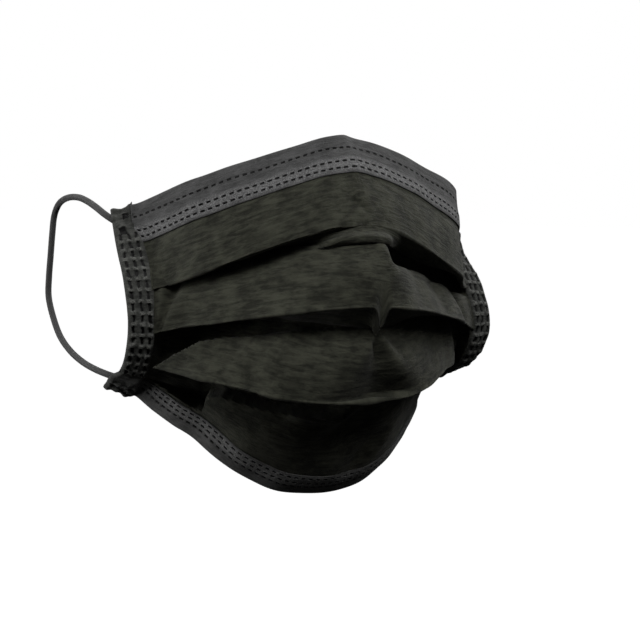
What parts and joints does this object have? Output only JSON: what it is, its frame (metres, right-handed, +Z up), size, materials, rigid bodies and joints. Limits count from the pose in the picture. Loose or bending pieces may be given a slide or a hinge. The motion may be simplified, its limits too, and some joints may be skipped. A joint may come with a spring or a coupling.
{
  "type": "surgical mask",
  "caption": "Pleated disposable surgical face mask in its worn form, with bound edges, welded side bands and elastic ear loops.",
  "frame": {"origin": "where the mask sits on the bridge of the nose: the inner face of the top binding, at the middle", "axes": "+X across the face towards the right-hand piece as seen from the front, +Y towards the face, +Z up; the front of the mask looks along -Y"},
  "size_m": [0.1481, 0.1292, 0.1308],
  "materials": {
    "panel_cloth": "matt charcoal spunbond nonwoven",
    "nose_binding_cloth": "matt grey nonwoven strip with welded dashes",
    "chin_binding_cloth": "matt grey nonwoven strip with welded dashes",
    "side_band_cloth": "nonwoven pressed and welded in rows",
    "ear_loop_elastic": "soft knitted elastic cord"
  },
  "bodies": {
    "root": {"pleated_panel": "panel_cloth", "nose_band": "nose_binding_cloth", "chin_band": "chin_binding_cloth", "side_band_left": "side_band_cloth", "side_band_right": "side_band_cloth", "ear_loop_left": "ear_loop_elastic", "ear_loop_right": "ear_loop_elastic"}
  },
  "joints": []
}
